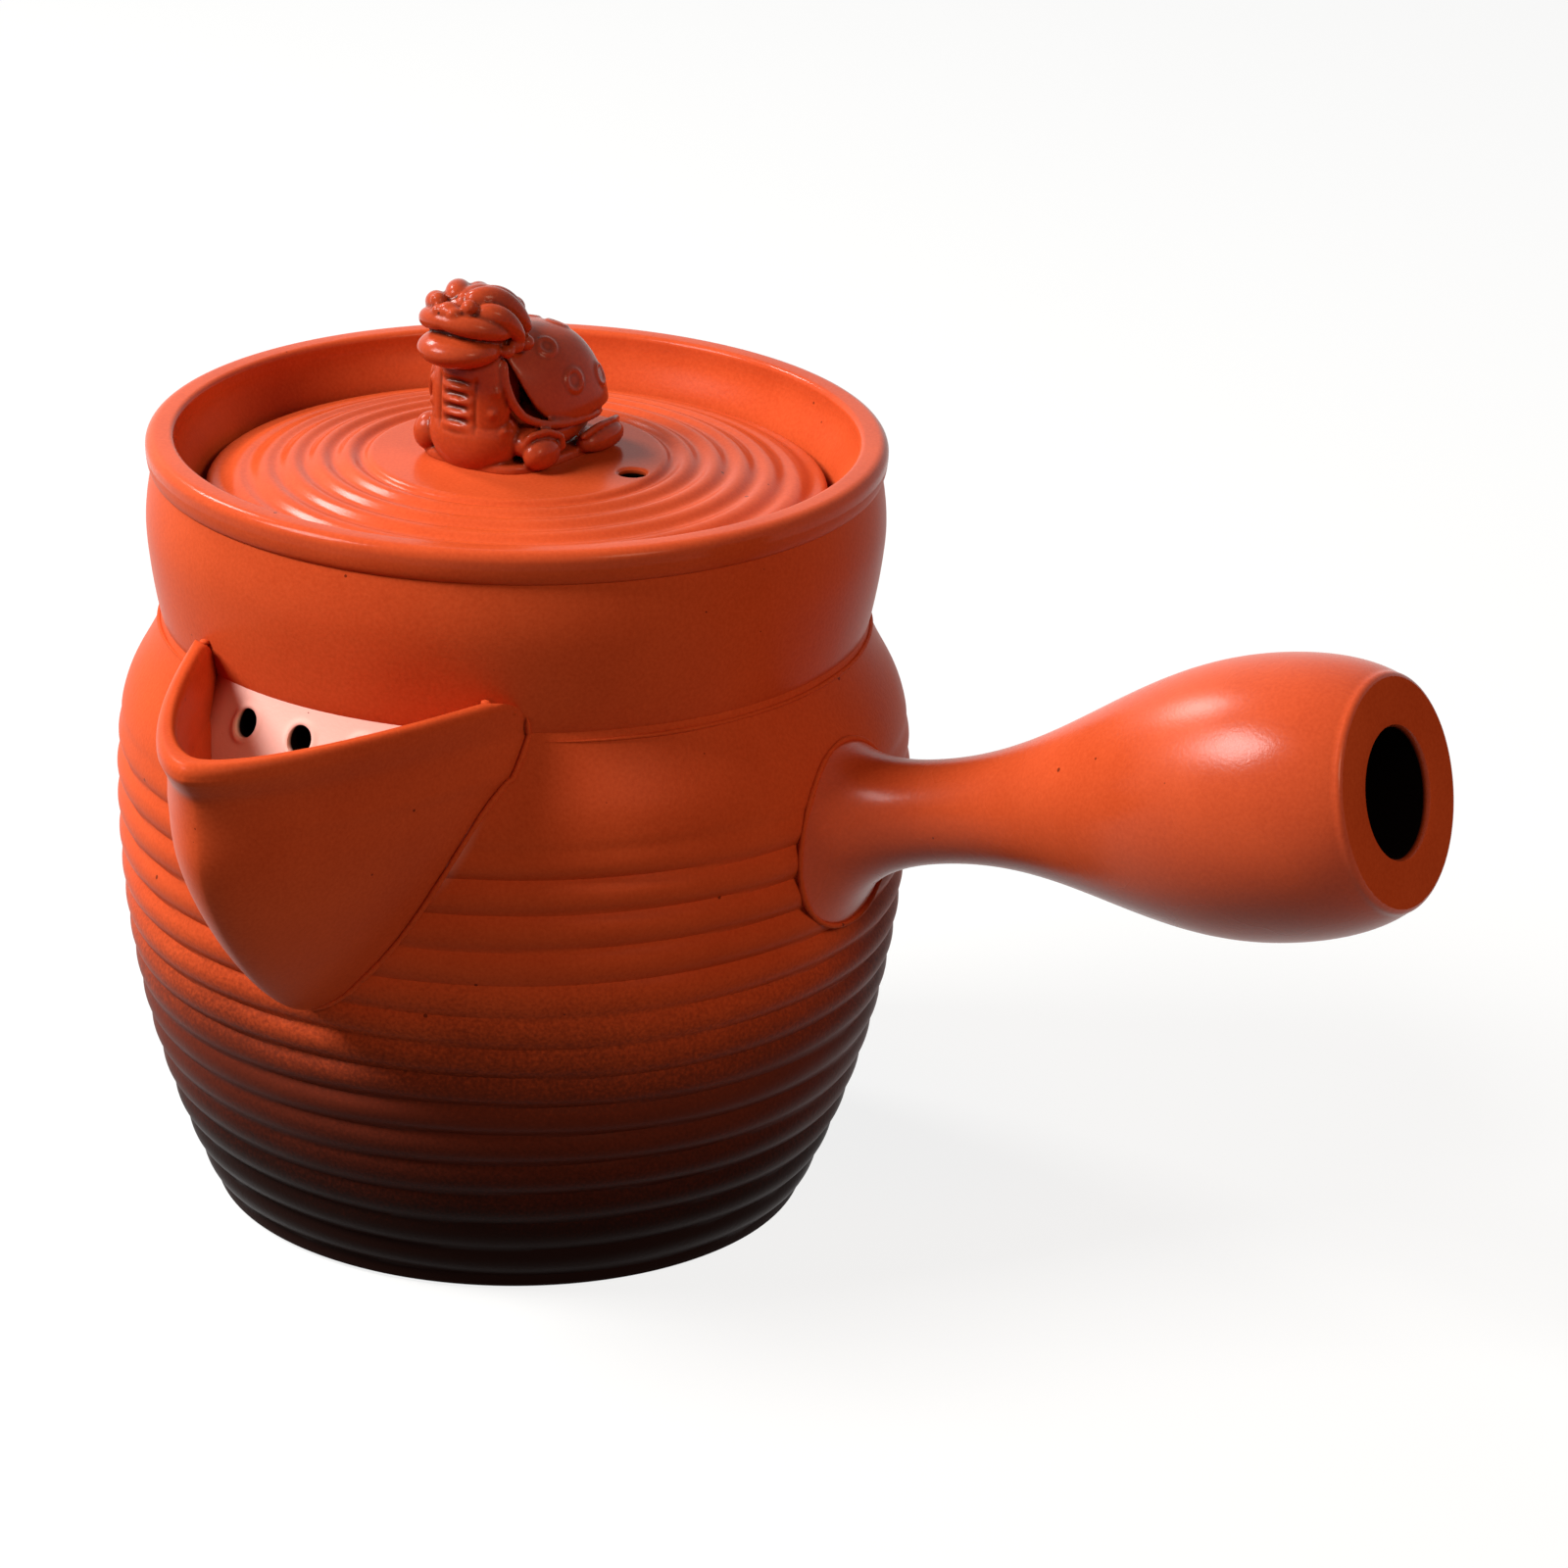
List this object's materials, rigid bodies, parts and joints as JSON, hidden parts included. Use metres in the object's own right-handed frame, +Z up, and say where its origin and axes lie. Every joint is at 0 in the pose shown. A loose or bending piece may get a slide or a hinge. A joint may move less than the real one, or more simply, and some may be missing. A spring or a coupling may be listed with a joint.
{
  "type": "side-handle teapot",
  "caption": "Side-handle clay teapot with a pierced strainer wall behind a beak spout, a deep collar and a lift-off rippled lid with a beast knob.",
  "frame": {"origin": "centre of the foot ring, on the surface that the pot stands on", "axes": "+Z up along the pot's axis, +X along the side handle, the spout close to -Y"},
  "size_m": [0.1551, 0.1127, 0.1067],
  "materials": {
    "smoked_clay": "matte",
    "red_clay": "satin",
    "slip": "matte",
    "polished_clay": "semi-gloss"
  },
  "bodies": {
    "pot": {"pot_body": "smoked_clay", "collar": "red_clay", "spout": "red_clay", "handle": "red_clay", "collar_slip": "slip", "spout_slip": "slip", "handle_slip": "slip"},
    "lid": {"lid": "red_clay", "lid_flange": "red_clay", "lid_knob": "polished_clay"}
  },
  "joints": [
    {"name": "lid_lift", "type": "slide", "parent": "pot", "child": "lid", "axis": [0, 0, 1], "range_m": [0, 0.06]}
  ]
}
